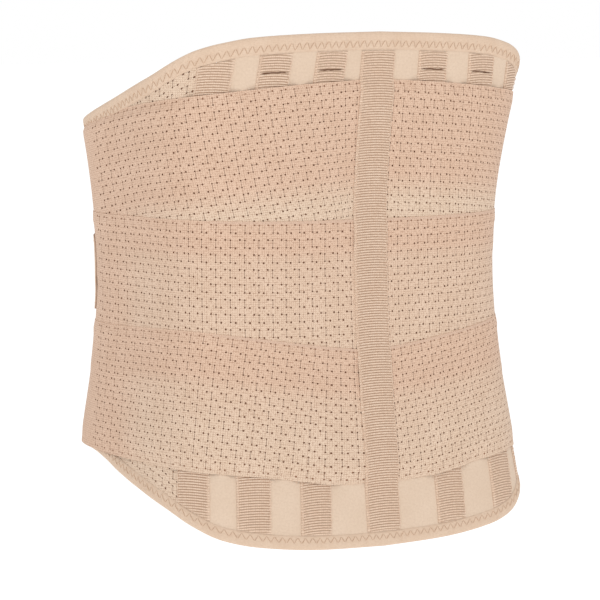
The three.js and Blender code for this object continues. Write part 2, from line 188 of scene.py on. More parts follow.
def new_piece(name, points, faces, material, point_values, face_values=None):
    """A smooth mesh object with values on its points and faces for its material to read."""
    mesh = bpy.data.meshes.new(name)
    mesh.from_pydata(points, [], faces)
    mesh.polygons.foreach_set("use_smooth", np.ones(len(mesh.polygons), bool))
    mesh.set_sharp_from_angle(angle=SHARP_ANGLE)
    for domain, values in (("POINT", point_values), ("FACE", face_values or {})):
        for key, value in values.items():
            value = np.asarray(value, np.float32)
            if value.ndim == 2:
                mesh.attributes.new(key, "FLOAT_VECTOR", domain).data.foreach_set("vector", value.ravel())
            else:
                mesh.attributes.new(key, "FLOAT", domain).data.foreach_set("value", value)
    mesh.materials.append(material)
    piece = bpy.data.objects.new(name, mesh)
    bpy.context.scene.collection.objects.link(piece)
    return piece


def open_edges(faces, count):
    """Start and end points of the edges that only one face has."""
    edges = np.stack([faces.ravel(), np.roll(faces, -1, axis=1).ravel()], axis=1)
    forward = edges[:, 0] * count + edges[:, 1]
    backward = edges[:, 1] * count + edges[:, 0]
    return edges[~np.isin(forward, backward)].T


def closed_cloth(name, cloth, outer, inner, faces, material, values=None, plugs=None, lining=None):
    """Cloth with a walled border. Plugs are the floors of its holes, and lining the inner side's faces."""
    count = len(outer)
    plugs = faces[:0] if plugs is None else plugs
    whole = np.concatenate([faces, plugs])
    lining = whole if lining is None else lining
    a, b = open_edges(whole, count)
    walls = np.stack([b, a, a + count, b + count], axis=1)
    sunk = np.unique(plugs)
    lowered = np.zeros(count, int)
    lowered[sunk] = 2 * count + np.arange(len(sunk))
    a, b = open_edges(plugs, count)
    hole_walls = np.stack([a, b, lowered[b], lowered[a]], axis=1)
    parts = [faces, lining[:, ::-1] + count, walls, hole_walls, lowered[plugs]]
    sizes = [len(part) for part in parts]
    used, numbers = np.unique(np.concatenate([part.ravel() for part in parts]), return_inverse=True)
    numbers = np.split(numbers, np.cumsum([part.size for part in parts])[:-1])
    all_faces = []
    for part, number in zip(parts, numbers):
        all_faces += number.reshape(part.shape).tolist()
    floor = inner[sunk] + HOLE_FLOOR * (outer[sunk] - inner[sunk])
    flat = np.column_stack([cloth, np.zeros(count)])
    point_values = {"cloth": flat, **(values or {})}
    for key, value in point_values.items():
        point_values[key] = np.concatenate([value, value, value[sunk]])[used]
    face_values = {
        # cut marks the holes' walls and floors, which the perforated elastic paints with shade
        "cut": np.repeat([0.0, 0.0, 0.0, 1.0, 1.0], sizes),
        # border marks the walls round the edge, which the flap cloth paints darker, partly as shade
        "border": np.repeat([0.0, 0.0, 1.0, 0.0, 0.0], sizes),
    }
    points = np.concatenate([outer, inner, floor])[used]
    return new_piece(name, points, all_faces, material, point_values, face_values)


def add_node(tree, kind, inputs, **settings):
    """A shader node with its settings, and each input linked to a socket or set to a value."""
    node = tree.nodes.new(kind)
    for key, value in settings.items():
        setattr(node, key, value)
    for key, value in inputs.items():
        if isinstance(value, bpy.types.NodeSocket):
            tree.links.new(value, node.inputs[key])
        else:
            node.inputs[key].default_value = value
    return node


def add_maths(tree, operation, *values):
    """The result of a sum on sockets and values."""
    node = add_node(tree, "ShaderNodeMath", dict(enumerate(values)), operation=operation)
    return node.outputs[0]


# Sockets of Blender's colour mix node: three inputs and the result
MIX_SHARE = 0
MIX_FROM = 6
MIX_TO = 7
MIX_RESULT = 2


def add_mix(tree, share, start, end, blend="MIX"):
    """A colour between two others, by a share from 0 to 1."""
    inputs = {MIX_SHARE: share, MIX_FROM: start, MIX_TO: end}
    node = add_node(tree, "ShaderNodeMix", inputs, data_type="RGBA", blend_type=blend)
    return node.outputs[MIX_RESULT]


def add_patches(tree, cloth, scale, detail, low, high):
    """Soft patches over the cloth: 0 where the noise is low and 1 where it is high."""
    inputs = {"Vector": cloth, "Scale": scale, "Detail": detail}
    noise = add_node(tree, "ShaderNodeTexNoise", inputs).outputs["Fac"]
    inputs = {"Value": noise, "From Min": low, "From Max": high}
    return add_node(tree, "ShaderNodeMapRange", inputs).outputs["Result"]


def mesh_value(tree, name, output="Fac"):
    """A value that a mesh holds on its points or faces."""
    return add_node(tree, "ShaderNodeAttribute", {}, attribute_name=name).outputs[output]


def new_group(name, inputs, outputs):
    """An empty node group with named sockets."""
    tree = bpy.data.node_groups.new(name, "ShaderNodeTree")
    for socket, kind in inputs:
        tree.interface.new_socket(socket, in_out="INPUT", socket_type="NodeSocket" + kind)
    for socket, kind in outputs:
        tree.interface.new_socket(socket, in_out="OUTPUT", socket_type="NodeSocket" + kind)
    return tree, tree.nodes.new("NodeGroupInput").outputs, tree.nodes.new("NodeGroupOutput").inputs


# Fineness of the dye's patches, and the noise values at which they are pale and deep
TONE_DETAIL = 3.0
TONE_LOW = 0.3
TONE_HIGH = 0.7


def cloth_tone_group():
    """Uneven dye: a colour that wanders between a pale and a deep tone in soft patches."""
    sockets = [("Cloth", "Vector"), ("Patches", "Float"), ("Pale", "Color"), ("Deep", "Color")]
    tree, given, result = new_group("cloth_tone", sockets, [("Colour", "Color")])
    share = add_patches(tree, given["Cloth"], given["Patches"], TONE_DETAIL, TONE_LOW, TONE_HIGH)
    tree.links.new(add_mix(tree, share, given["Pale"], given["Deep"]), result["Colour"])
    return tree


# Brings the sum of two waves, from -2 to 2, into heights from 0 to 1
THREAD_SCALE = 0.25
THREAD_MIDDLE = 0.5
# Depth in a thread's wave at which the painted shade between threads starts and is full
GAP_SHADE_START = -0.3
GAP_SHADE_FULL = -1.1
# Patches for each metre in which the painted shade between threads comes and goes, their fineness and
# their noise values
UNEVEN_SCALE = 700.0
UNEVEN_DETAIL = 2.0
UNEVEN_LOW = 0.35
UNEVEN_HIGH = 0.65


def crossing_threads_group():
    """Threads that cross: a height for bump, and a mask of painted shade in the gaps between the threads.
    """
    sockets = [("Cloth", "Vector"), ("Across", "Float"), ("Along", "Float")]
    tree, given, result = new_group("crossing_threads", sockets, [("Height", "Float"), ("Gap Shade", "Float")])
    place = add_node(tree, "ShaderNodeSeparateXYZ", {0: given["Cloth"]}).outputs
    waves = []
    for axis, count in (("X", "Across"), ("Y", "Along")):
        turns = add_maths(tree, "MULTIPLY", place[axis], given[count])
        waves.append(add_maths(tree, "SINE", add_maths(tree, "MULTIPLY", turns, math.tau)))
    both = add_maths(tree, "ADD", *waves)
    height = add_maths(tree, "MULTIPLY_ADD", both, THREAD_SCALE, THREAD_MIDDLE)
    tree.links.new(height, result["Height"])
    lowest = add_maths(tree, "MINIMUM", *waves)
    inputs = {"Value": lowest, "From Min": GAP_SHADE_START, "From Max": GAP_SHADE_FULL}
    gap_shade = add_node(tree, "ShaderNodeMapRange", inputs).outputs["Result"]
    uneven = add_patches(tree, given["Cloth"], UNEVEN_SCALE, UNEVEN_DETAIL, UNEVEN_LOW, UNEVEN_HIGH)
    tree.links.new(add_maths(tree, "MULTIPLY", gap_shade, uneven), result["Gap Shade"])
    return tree


# The curve by which a screen's colour values stand for light
SCREEN_FULL = 255
SCREEN_OFFSET = 0.055
SCREEN_POWER = 2.4


def screen_colour(red, green, blue):
    """A colour given as it looks on a screen, 0 to 255, for a shader's socket."""
    shares = [value / SCREEN_FULL for value in (red, green, blue)]
    return (*[((share + SCREEN_OFFSET) / (1 + SCREEN_OFFSET)) ** SCREEN_POWER for share in shares], 1.0)


cloth_tone = cloth_tone_group()
crossing_threads = crossing_threads_group()
CLOTH_SPECULAR = 0.2
CLOTH_SHEEN = 0.08


def cloth_material(name, pale, deep, gap_shade, patches, threads, relief, roughness=0.85):
    """A matte cloth: uneven dye, fine crossing threads with painted shade in the gaps between them, and
    their relief.
    """
    material = bpy.data.materials.new(name)
    material.use_nodes = True
    tree = material.node_tree
    shader = tree.nodes["Principled BSDF"]
    cloth = mesh_value(tree, "cloth", "Vector")
    tones = {"Pale": screen_colour(*pale), "Deep": screen_colour(*deep)}
    inputs = {"Cloth": cloth, "Patches": patches, **tones}
    tone = add_node(tree, "ShaderNodeGroup", inputs, node_tree=cloth_tone)
    inputs = {"Cloth": cloth, "Across": threads[0], "Along": threads[1]}
    weave = add_node(tree, "ShaderNodeGroup", inputs, node_tree=crossing_threads)
    # Painted shade: the gaps between the threads take the darker colour given for them
    colour = add_mix(tree, weave.outputs["Gap Shade"], tone.outputs["Colour"], screen_colour(*gap_shade))
    tree.links.new(colour, shader.inputs["Base Color"])
    bump = add_node(tree, "ShaderNodeBump", {"Height": weave.outputs["Height"], "Distance": relief})
    tree.links.new(bump.outputs["Normal"], shader.inputs["Normal"])
    shader.inputs["Roughness"].default_value = roughness
    shader.inputs["Specular IOR Level"].default_value = CLOTH_SPECULAR
    shader.inputs["Sheen Weight"].default_value = CLOTH_SHEEN
    return material, tree, shader, colour


knit, *_ = cloth_material(
    "smooth_knit", pale=(226, 203, 181), deep=(221, 197, 174), gap_shade=(209, 183, 159),
    patches=40.0, threads=(1500.0, 1150.0), relief=0.00008,
)


def back_panel():
    share = np.repeat(np.linspace(0, 1, BACK_COLUMNS + 1), BACK_ROWS + 1)
    down = np.tile(np.linspace(0, 1, BACK_ROWS + 1), BACK_COLUMNS + 1)

    def line(height):
        right = stay_around("right_3", height) + SEAM_GAP / 2
        left = stay_around("left_3", height) - SEAM_GAP / 2
        return right + (left - right) * share

    top = meeting(line, TOP_EDGE)
    bottom = meeting(line, BOTTOM_EDGE)
    height = top + (bottom - top) * down
    around = line(height)
    faces = grid_faces(BACK_COLUMNS, BACK_ROWS)
    outer = lay(around, height, CLOTH)
    inner = lay(around, height, 0.0)
    piece = closed_cloth("knit_back", np.column_stack([around, height]), outer, inner, faces, knit)
    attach(piece, "root")
    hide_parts("back_panel")


back_panel()

# Side panels: a single layer of elastic, punched with pairs of holes that a slit joins.
# Each is seamed to the back panel under the outer stay channel and to a front flap on the flank,
# and shows as a triangle above and below the bands.
TILE_WIDTH = 0.0091
TILE_HEIGHT = 0.0088
# An upright slit in the tile's middle, from one row of holes to the other, with round ends
HOLE_ROWS = (0.0022, 0.0066)
SLIT_HALF_WIDTH = 0.00011
SLIT_END_RADIUS = 0.00053
# A round hole beside each end, a little further from the other row, and a thin bar that joins them
HOLE_RADIUS = 0.00067
HOLE_SPACING = 0.0032
HOLE_SHIFT = 0.00025
BAR_HALF_WIDTH = 0.00004
HOLE_SIDES = 8
# Painted shade inside the holes: their walls and floors are brown, for the dark seen down a hole
HOLE_SHADE_COLOUR = (156, 114, 89)
# Tint of the elastic where it lies double
DOUBLE_TINT = (250, 240, 237)
# Parts of a tile's side, and how closely its points are worked out and rounded
TILE_CELLS = 3
TILE_PRECISION = 1e-6
TILE_DIGITS = 5
# Blender's number for triangles that fill the whole outline
WHOLE_OUTLINE = 0
# Lines that share out the way from the outer stay to the front's middle, and the flap's seam on one
FRONT_LINES = 17
FLAP_SEAM = 9 / FRONT_LINES
OUTER_STAY = {1: "left_3", -1: "right_3"}
STAY_WIDTH = 0.0220
SIDE_COLUMNS = 16
# Rows of tiles with holes at the upper and the lower edge, and without them under the bands
SIDE_EDGE_ROWS = 5
SIDE_MIDDLE_ROWS = 17


def hole_arc(centre, radius, start, end, sides):
    """Points along the round wall of a hole; start and end are mouths, each an angle and a half width."""
    first = start[0] + math.asin(start[1] / radius)
    last = end[0] - math.asin(end[1] / radius)
    angles = np.linspace(first, last, sides)
    return [(centre[0] + radius * math.cos(a), centre[1] + radius * math.sin(a)) for a in angles]


def inside(point, ring):
    """Whether a point lies inside a closed ring of corners."""
    crossings = 0
    for (ax, ay), (bx, by) in zip(ring, ring[1:] + ring[:1]):
        if (ay > point[1]) != (by > point[1]):
            crossings += point[0] < ax + (bx - ax) * (point[1] - ay) / (by - ay)
    return crossings % 2 == 1


def punched_tile():
    """A tile of size 1: its points, and the triangles of its face, its hole and its inner side."""
    middle = TILE_WIDTH / 2
    upper, lower = HOLE_ROWS
    slit = SLIT_HALF_WIDTH
    bar = BAR_HALF_WIDTH
    high = (middle, upper)
    low = (middle, lower)
    right_hole = (middle + HOLE_SPACING, upper - HOLE_SHIFT)
    left_hole = (middle - HOLE_SPACING, lower + HOLE_SHIFT)
    quarter = HOLE_SIDES // 2 - 1
    ring = hole_arc(right_hole, HOLE_RADIUS, (-math.pi, bar), (math.pi, bar), HOLE_SIDES)
    ring += hole_arc(high, SLIT_END_RADIUS, (0.0, bar), (math.pi / 2, slit), quarter)
    ring += hole_arc(low, SLIT_END_RADIUS, (-math.pi / 2, slit), (math.pi, bar), HOLE_SIDES)
    ring += hole_arc(left_hole, HOLE_RADIUS, (0.0, bar), (math.tau, bar), HOLE_SIDES)
    ring += hole_arc(low, SLIT_END_RADIUS, (math.pi, bar), (1.5 * math.pi, slit), quarter)
    ring += hole_arc(high, SLIT_END_RADIUS, (math.pi / 2, slit), (math.tau, bar), HOLE_SIDES)
    ring = [(x / TILE_WIDTH, y / TILE_HEIGHT) for x, y in ring]
    steps = [step / TILE_CELLS for step in range(TILE_CELLS)]
    border = [(s, 0.0) for s in steps] + [(1.0, s) for s in steps]
    border += [(1.0 - s, 1.0) for s in steps] + [(0.0, 1.0 - s) for s in steps]
    points = []
    edges = []
    for loop in (border, ring):
        first = len(points)
        points += [Vector(corner) for corner in loop]
        edges += [(first + i, first + (i + 1) % len(loop)) for i in range(len(loop))]
    found, _, triangles, *_ = delaunay_2d_cdt(points, edges, [], WHOLE_OUTLINE, TILE_PRECISION)
    kept = []
    plugs = []
    for triangle in triangles:
        centre = sum((found[i] for i in triangle), Vector((0.0, 0.0))) / len(triangle)
        (plugs if inside(centre, ring) else kept).append(triangle)
    rim = len(border)
    _, _, lining, *_ = delaunay_2d_cdt(points[:rim], edges[:rim], [], WHOLE_OUTLINE, TILE_PRECISION)
    return np.array(found), np.array(kept), np.array(plugs), np.array(lining)


def plain_tile():
    """A tile without holes, given in the same way."""
    steps = np.linspace(0, 1, TILE_CELLS + 1)
    points = np.array([(x, y) for x in steps for y in steps])
    quads = grid_faces(TILE_CELLS, TILE_CELLS)
    triangles = np.concatenate([quads[:, [0, 1, 2]], quads[:, [0, 2, 3]]])
    return points, triangles, triangles[:0], triangles


tile_with_holes = punched_tile()
tile_without_holes = plain_tile()


def tiled_cloth(punched):
    """Flat points and triangles of a cloth of tiles; punched tells which of them have holes."""
    points = []
    triangles = [[], [], []]
    count = 0
    for tile, chosen in ((tile_with_holes, punched), (tile_without_holes, ~punched)):
        tile_points, *tile_triangles = tile
        corners = np.argwhere(chosen)
        points.append((corners[:, None, :] + tile_points[None, :, :]).reshape(-1, 2))
        first = count + np.arange(len(corners)) * len(tile_points)
        for made, corner_numbers in zip(triangles, tile_triangles):
            made.append((first[:, None, None] + corner_numbers[None, :, :]).reshape(-1, 3))
        count += len(corners) * len(tile_points)
    points = np.round(np.concatenate(points), TILE_DIGITS)
    points, renumber = np.unique(points, axis=0, return_inverse=True)
    return points, [renumber.ravel()[np.concatenate(made)] for made in triangles]


def perforated_material():
    """Elastic that is paler where it is a single layer, with painted brown shade inside its holes."""
    material, tree, shader, single = cloth_material(
        "perforated_elastic", pale=(229, 205, 182), deep=(224, 199, 175), gap_shade=(168, 134, 110),
        patches=60.0, threads=(730.0, 730.0), relief=0.00012,
    )
    double = mesh_value(tree, "double")
    dyed = add_mix(tree, double, single, screen_colour(*DOUBLE_TINT), "MULTIPLY")
    # Painted shade in the holes
    hole_shaded = add_mix(tree, mesh_value(tree, "cut"), dyed, screen_colour(*HOLE_SHADE_COLOUR))
    tree.links.new(hole_shaded, shader.inputs["Base Color"])
    return material


perforated = perforated_material()


def flank_around(side, share, height):
    """Distance around on the flank: share 0 at the outer stay's outer edge, 1 at the front's middle."""
    start = np.abs(stay_around(OUTER_STAY[side], height)) + STAY_WIDTH / 2
    half_girth = np.interp(height, girth_heights, half_girths)
    return side * (start + (half_girth - start) * share)


def side_panel(name, node, side):
    rows = 2 * SIDE_EDGE_ROWS + SIDE_MIDDLE_ROWS
    punched = np.ones((SIDE_COLUMNS, rows), bool)
    punched[:, SIDE_EDGE_ROWS:-SIDE_EDGE_ROWS] = False
    points, triangles = tiled_cloth(punched)
    share = points[:, 0] / SIDE_COLUMNS

    def line(height):
        seam = stay_around(OUTER_STAY[side], height) + side * SEAM_GAP / 2
        front = flank_around(side, FLAP_SEAM, height) - side * SEAM_GAP / 2
        return seam + (front - seam) * share

    top = meeting(line, TOP_EDGE)
    bottom = meeting(line, BOTTOM_EDGE)
    edge_depth = SIDE_EDGE_ROWS * TILE_HEIGHT
    row = points[:, 1]
    from_top = top - row * TILE_HEIGHT
    from_bottom = bottom + (rows - row) * TILE_HEIGHT
    middle = (row - SIDE_EDGE_ROWS) / SIDE_MIDDLE_ROWS
    between = top - edge_depth + (bottom - top + 2 * edge_depth) * middle
    height = np.where(middle < 0, from_top, np.where(middle > 1, from_bottom, between))
    around = line(height)
    if side < 0:
        triangles = [made[:, ::-1] for made in triangles]
    face, plugs, lining = triangles
    cloth = np.column_stack([np.abs(around), height])
    values = {"double": np.zeros(len(points))}
    outer = lay(around, height, CLOTH)
    inner = lay(around, height, 0.0)
    piece = closed_cloth(name, cloth, outer, inner, face, perforated, values, plugs, lining)
    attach(piece, "root")
    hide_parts(node)


side_panel("perforated_side_left", "side_panel_left", 1)
side_panel("perforated_side_right", "side_panel_right", -1)

# Front flaps: plain brushed cloth that closes the brace in front, with a stitched hem.
# The left flap lies under, and the right one laps over it and ends in a tongue on the left flank.
FLAP_COLUMNS = 90
FLAP_ROWS = 40
# Distance from the flap's seam, and the flap's top and bottom
UNDER_FLAP = (
    (0.000, 0.097, -0.110), (0.060, 0.093, -0.105), (0.120, 0.084, -0.096), (0.180, 0.062, -0.070),
)
OVER_FLAP = (
    (0.000, 0.097, -0.110), (0.060, 0.091, -0.104), (0.115, 0.078, -0.090), (0.165, 0.058, -0.066),
    (0.200, 0.038, -0.041), (0.218, 0.025, -0.027), (0.250, 0.025, -0.026),
)
UNDER_FLAP_END = 13 / FRONT_LINES
TONGUE_TIP = 8 / FRONT_LINES
# Where the right flap rises onto the left one, and where its tongue rises onto the bands
OVER_FLAP_RISE = (11 / FRONT_LINES, 12 / FRONT_LINES)
TONGUE_RISE = (11 / FRONT_LINES, 10 / FRONT_LINES)
# The tongue comes down between these heights, from the lapped bands to the single one below
TONGUE_OFFSET = 0.0047
TONGUE_LOW = 0.0043
TONGUE_STEP = (-0.014, -0.004)
# Length of a flap's thinner tip, and the share of the cloth that is gone at its end
TIP_DEPTH = 0.010
TIP_THIN = 0.50
FLAP_CORNER = 0.007
# Border walls of the flaps: partly the edge's own darker colour, partly painted shade
EDGE_COLOUR_AND_SHADE = (186, 157, 136)
HEM_INSET = 0.004
STITCH_RADIUS = 0.0002
STITCH_LENGTH = 0.0022
STITCH_STEP = 0.0031
STITCH_SIDES = 5
# Places along a stitch, and whether the thread lies on the cloth there or sinks into it
STITCH_SHARES = (0.0, 0.2, 0.8, 1.0)
STITCH_RAISED = (False, True, True, False)


def ramp(value, start, end):
    """0 up to start and 1 from end, with a smooth change between."""
    t = np.clip((value - start) / (end - start), 0, 1)
    return t * t * (3 - 2 * t)


def stitch_piece(name, paths, radius, material):
    """Thread along many short paths of the same count of points, as closed tubes."""
    count, steps, _ = paths.shape
    tangent = np.gradient(paths, axis=1)
    tangent /= np.linalg.norm(tangent, axis=2, keepdims=True)
    out = paths * (1, 1, 0)
    out /= np.linalg.norm(out, axis=2, keepdims=True)
    side = np.cross(tangent, out)
    side /= np.linalg.norm(side, axis=2, keepdims=True)
    rise = np.cross(side, tangent)
    angles = np.arange(STITCH_SIDES) * math.tau / STITCH_SIDES
    spokes = np.cos(angles)[:, None] * side[:, :, None, :] + np.sin(angles)[:, None] * rise[:, :, None, :]
    points = (paths[:, :, None, :] + radius * spokes).reshape(-1, 3)
    number = np.arange(count * steps * STITCH_SIDES).reshape(count, steps, STITCH_SIDES)
    following = np.roll(number, -1, axis=2)
    quads = [number[:, :-1], number[:, 1:], following[:, 1:], following[:, :-1]]
    faces = np.stack([q.ravel() for q in quads], axis=1).tolist()
    faces += number[:, 0].tolist() + number[:, -1, ::-1].tolist()
    cloth = np.repeat(paths.reshape(-1, 3), STITCH_SIDES, axis=0)
    return new_piece(name, points, faces, material, {"cloth": cloth})


def running_length(points):
    """Length along a line of points, from its first point to each of them."""
    return np.insert(np.cumsum(np.linalg.norm(np.diff(points, axis=0), axis=1)), 0, 0)


def straight_stitches(around, height, offset):
    """Paths of straight stitches that lie on the cloth along a line of closely set points."""
    lengths = running_length(lay(around, height, offset))
    starts = np.arange(STITCH_STEP, lengths[-1] - STITCH_STEP, STITCH_STEP)
    places = starts[:, None] + np.array(STITCH_SHARES) * STITCH_LENGTH

    def thread_at(lift):
        lifted = lay(around, height, offset + lift)
        return np.stack([np.interp(places, lengths, axis) for axis in lifted.T], axis=-1)

    raised = thread_at(STITCH_RADIUS / 2)
    sunk = thread_at(-STITCH_RADIUS)
    return np.where(np.array(STITCH_RAISED)[:, None], raised, sunk)


def brushed_material():
    """Brushed flap cloth, whose border walls are darker: partly the edge's own colour, partly painted
    shade on the edge seen end-on.
    """
    material, tree, shader, colour = cloth_material(
        "flap_cloth", pale=(225, 197, 172), deep=(218, 188, 163), gap_shade=(206, 174, 148),
        patches=90.0, threads=(900.0, 900.0), relief=0.00012, roughness=0.95,
    )
    edged = add_mix(tree, mesh_value(tree, "border"), colour, screen_colour(*EDGE_COLOUR_AND_SHADE))
    tree.links.new(edged, shader.inputs["Base Color"])
    return material


brushed = brushed_material()
thread, *_ = cloth_material(
    "stitching_thread", pale=(229, 203, 180), deep=(222, 194, 170), gap_shade=(200, 169, 144),
    patches=200.0, threads=(1500.0, 1500.0), relief=0.00004, roughness=0.7,
)


def front_flap(name, node, side, outline_rows, far_end, stand_off):
    """A flap from its seam on its own flank, across the front's middle, to its end on the far side."""
    own = 1 - FLAP_SEAM
    far = 1 - far_end
    travel = np.linspace(0, own + far, FLAP_COLUMNS + 1)
    on_far = travel > own
    share = np.where(on_far, 1 - (travel - own), FLAP_SEAM + travel)
    columns = np.arange(FLAP_COLUMNS + 1)

    def place_at(column, height):
        own_around = flank_around(side, share[column], height)
        far_around = flank_around(-side, share[column], height)
        return np.where(on_far[column], far_around, own_around)

    level = np.abs(place_at(columns, 0.0))
    middle = abs(flank_around(side, 1.0, 0.0))
    along = np.where(on_far, 2 * middle - level, level) - level[0]
    into_corner = np.maximum(along - along[-1] + FLAP_CORNER, 0)
    rounding = FLAP_CORNER - np.sqrt(np.maximum(FLAP_CORNER**2 - into_corner**2, 0))
    top = curve(outline_rows, along, 1) - rounding
    bottom = curve(outline_rows, along, 2) + rounding

    def offset_of(column, height):
        return stand_off(share[column], on_far[column], height)

    def face_of(column, height):
        thin = TIP_THIN * ramp(along[column], along[-1] - TIP_DEPTH, along[-1])
        return offset_of(column, height) + CLOTH * (1 - thin)

    column = np.repeat(columns, FLAP_ROWS + 1)
    down = np.tile(np.linspace(0, 1, FLAP_ROWS + 1), FLAP_COLUMNS + 1)
    height = top[column] + (bottom - top)[column] * down
    around = place_at(column, height)
    faces = grid_faces(FLAP_COLUMNS, FLAP_ROWS)
    if side < 0:
        faces = faces[:, ::-1]
    outer = lay(around, height, face_of(column, height))
    inner = lay(around, height, offset_of(column, height))
    cloth = np.column_stack([along[column], height])
    piece = closed_cloth(name, cloth, outer, inner, faces, brushed)
    sewn = columns[along < along[-1] - HEM_INSET]
    paths = []
    for edge, inset in ((top, -HEM_INSET), (bottom, HEM_INSET)):
        hem = edge[sewn] + inset
        paths.append(straight_stitches(place_at(sewn, hem), hem, face_of(sewn, hem)))
    stitches = stitch_piece(name + "_stitches", np.concatenate(paths), STITCH_RADIUS, thread)
    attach(piece, "root")
    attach(stitches, "root")
    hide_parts(node)


def under_flap_offset(share, on_far, height):
    """The left flap is innermost all along."""
    return np.zeros_like(height)


def over_flap_offset(share, on_far, height):
    """The right flap rises onto the left flap, and its tongue onto the bands."""
    own = LAYER * ramp(share, *OVER_FLAP_RISE)
    tongue = TONGUE_LOW + (TONGUE_OFFSET - TONGUE_LOW) * ramp(height, *TONGUE_STEP)
    far = LAYER + (tongue - LAYER) * ramp(-share, -TONGUE_RISE[0], -TONGUE_RISE[1])
    return np.where(on_far, far, own)


front_flap(
    "flap_under", "front_panel_left", 1, UNDER_FLAP, UNDER_FLAP_END, under_flap_offset,
)
front_flap("flap_over", "front_panel_right", -1, OVER_FLAP, TONGUE_TIP, over_flap_offset)

# Bindings: an elastic tape folded over the panels' upper and lower edges and sewn down with a zigzag.
# The fold is a little padded, and the stitches draw the tape in below it.
BINDING_STEPS = 720
# Height of the gathers, the lengths of their waves, and their drop below the fold and reach there
PUCKER = 0.00020
PUCKER_LENGTHS = (0.0052, 0.0037, 0.0083)
PUCKER_DROP = 0.0050
PUCKER_REACH = 0.0034
# Height of the folded tape in the profile below, and on each edge
FULL_LEG = 0.010
BINDING_LEG = {"top": 0.010, "bottom": 0.0076}
# Stand-off from the hollow, and rise above the panels' edge, round the folded tape
TAPE_PROFILE = (
    (0.0013, -0.0100), (0.0016, -0.0097), (0.0020, -0.0088), (0.0023, -0.0075), (0.0023, -0.0056),
    (0.0026, -0.0040), (0.0027, -0.0022), (0.0026, -0.0004), (0.0021, 0.0006), (0.0014, 0.0012),
    (0.0006, 0.0013), (-0.0002, 0.0011), (-0.0009, 0.0005), (-0.0013, -0.0006), (-0.0013, -0.0095),
    (-0.0011, -0.0099), (-0.0004, -0.0100), (-0.0003, -0.0096), (-0.0003, -0.0003), (0.0000, 0.0001),
    (0.0006, 0.0003), (0.0012, 0.0001), (0.0014, -0.0003), (0.0013, -0.0096),
)
# Rows of that profile from the outer leg's edge up to the fold
OUTER_LEG_ROWS = 8
# Rows of the zigzag as shares of the leg, its length along the tape for each stroke, and its thread
ZIGZAG_NEAR = 0.36
ZIGZAG_FAR = 0.88
ZIGZAG_STEP = 0.0026
ZIGZAG_POINTS = 6
ZIGZAG_RADIUS = 0.00024
# Depth to which a stroke dips at its two ends, and the power of that dip
ZIGZAG_SINK = 0.0003
ZIGZAG_DIP = 4

tape, *_ = cloth_material(
    "binding_tape", pale=(225, 200, 177), deep=(219, 192, 168), gap_shade=(208, 179, 154),
    patches=70.0, threads=(1300.0, 900.0), relief=0.0001,
)
# Painted shade: the zigzag thread is the tape's beige, painted darker for the dents where its stitches
# pull into the elastic
zigzag_thread_painted_shade, *_ = cloth_material(
    "zigzag_thread_painted_shade", pale=(198, 167, 140), deep=(190, 158, 132), gap_shade=(175, 142, 117),
    patches=200.0, threads=(1500.0, 1500.0), relief=0.00004, roughness=0.7,
)


def swept_piece(name, points, cloth, material):
    """A closed piece from rings of points along a path, with its two ends capped."""
    rings, count = points.shape[:2]
    number = np.arange(rings * count).reshape(rings, count)
    following = np.roll(number, -1, axis=1)
    sides = [number[:-1], following[:-1], following[1:], number[1:]]
    faces = np.stack([side.ravel() for side in sides], axis=1).tolist()
    faces += [number[0, ::-1].tolist(), number[-1].tolist()]
    piece = new_piece(name, points.reshape(-1, 3), faces, material, {"cloth": cloth.reshape(-1, 3)})
    mesh = bmesh.new()
    mesh.from_mesh(piece.data)
    bmesh.ops.recalc_face_normals(mesh, faces=mesh.faces)
    mesh.to_mesh(piece.data)
    mesh.free()
    return piece


def flank_end(side, edge):
    """Where a binding ends: the seam between the side panel and the flap."""

    def line(height):
        return flank_around(side, FLAP_SEAM, height)

    return float(line(meeting(line, edge)))


def gathers(around, rise):
    """How far the zigzag's pull lifts or sinks the tape's outer leg."""
    waves = sum(np.sin(math.tau * around / length) for length in PUCKER_LENGTHS)
    return PUCKER * waves * np.exp(-(((rise + PUCKER_DROP) / PUCKER_REACH) ** 2))


def binding(name, node, edge, leg, up):
    """The folded tape along an edge, with its zigzag; up is 1 on the upper edge and -1 on the lower."""
    profile = np.array(TAPE_PROFILE)
    rise = np.where(profile[:, 1] < 0, profile[:, 1] * leg / FULL_LEG, profile[:, 1])
    around = np.linspace(flank_end(-1, edge), flank_end(1, edge), BINDING_STEPS + 1)[:, None]
    height = edge_height(edge, around) + up * rise
    on_outside = profile[:, 0] > LAYER
    points = lay(around, height, profile[:, 0] + gathers(around, profile[:, 1]) * on_outside)
    cloth = np.stack(np.broadcast_arrays(around, running_length(profile), 0.0), axis=-1)
    piece = swept_piece(name, points, cloth, tape)
    turns = np.arange(around[0, 0] + ZIGZAG_STEP, around[-1, 0] - 2 * ZIGZAG_STEP, ZIGZAG_STEP)
    share = np.linspace(0, 1, ZIGZAG_POINTS)
    sway = np.where(np.arange(len(turns) + 1) % 2 == 0, ZIGZAG_NEAR, ZIGZAG_FAR)
    along = turns[:, None] + ZIGZAG_STEP * share
    drop = -leg * (sway[:-1, None] + np.diff(sway)[:, None] * share)
    outside = profile[:OUTER_LEG_ROWS][::-1]
    full_drop = drop * FULL_LEG / leg
    seat = np.interp(-full_drop, -outside[:, 1], outside[:, 0]) + gathers(along, full_drop)
    lift = -ZIGZAG_SINK * (2 * share - 1) ** ZIGZAG_DIP
    paths = lay(along, edge_height(edge, along) + up * drop, seat + lift)
    stitches = stitch_piece(name + "_zigzag", paths, ZIGZAG_RADIUS, zigzag_thread_painted_shade)
    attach(piece, "root")
    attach(stitches, "root")
    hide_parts(node)


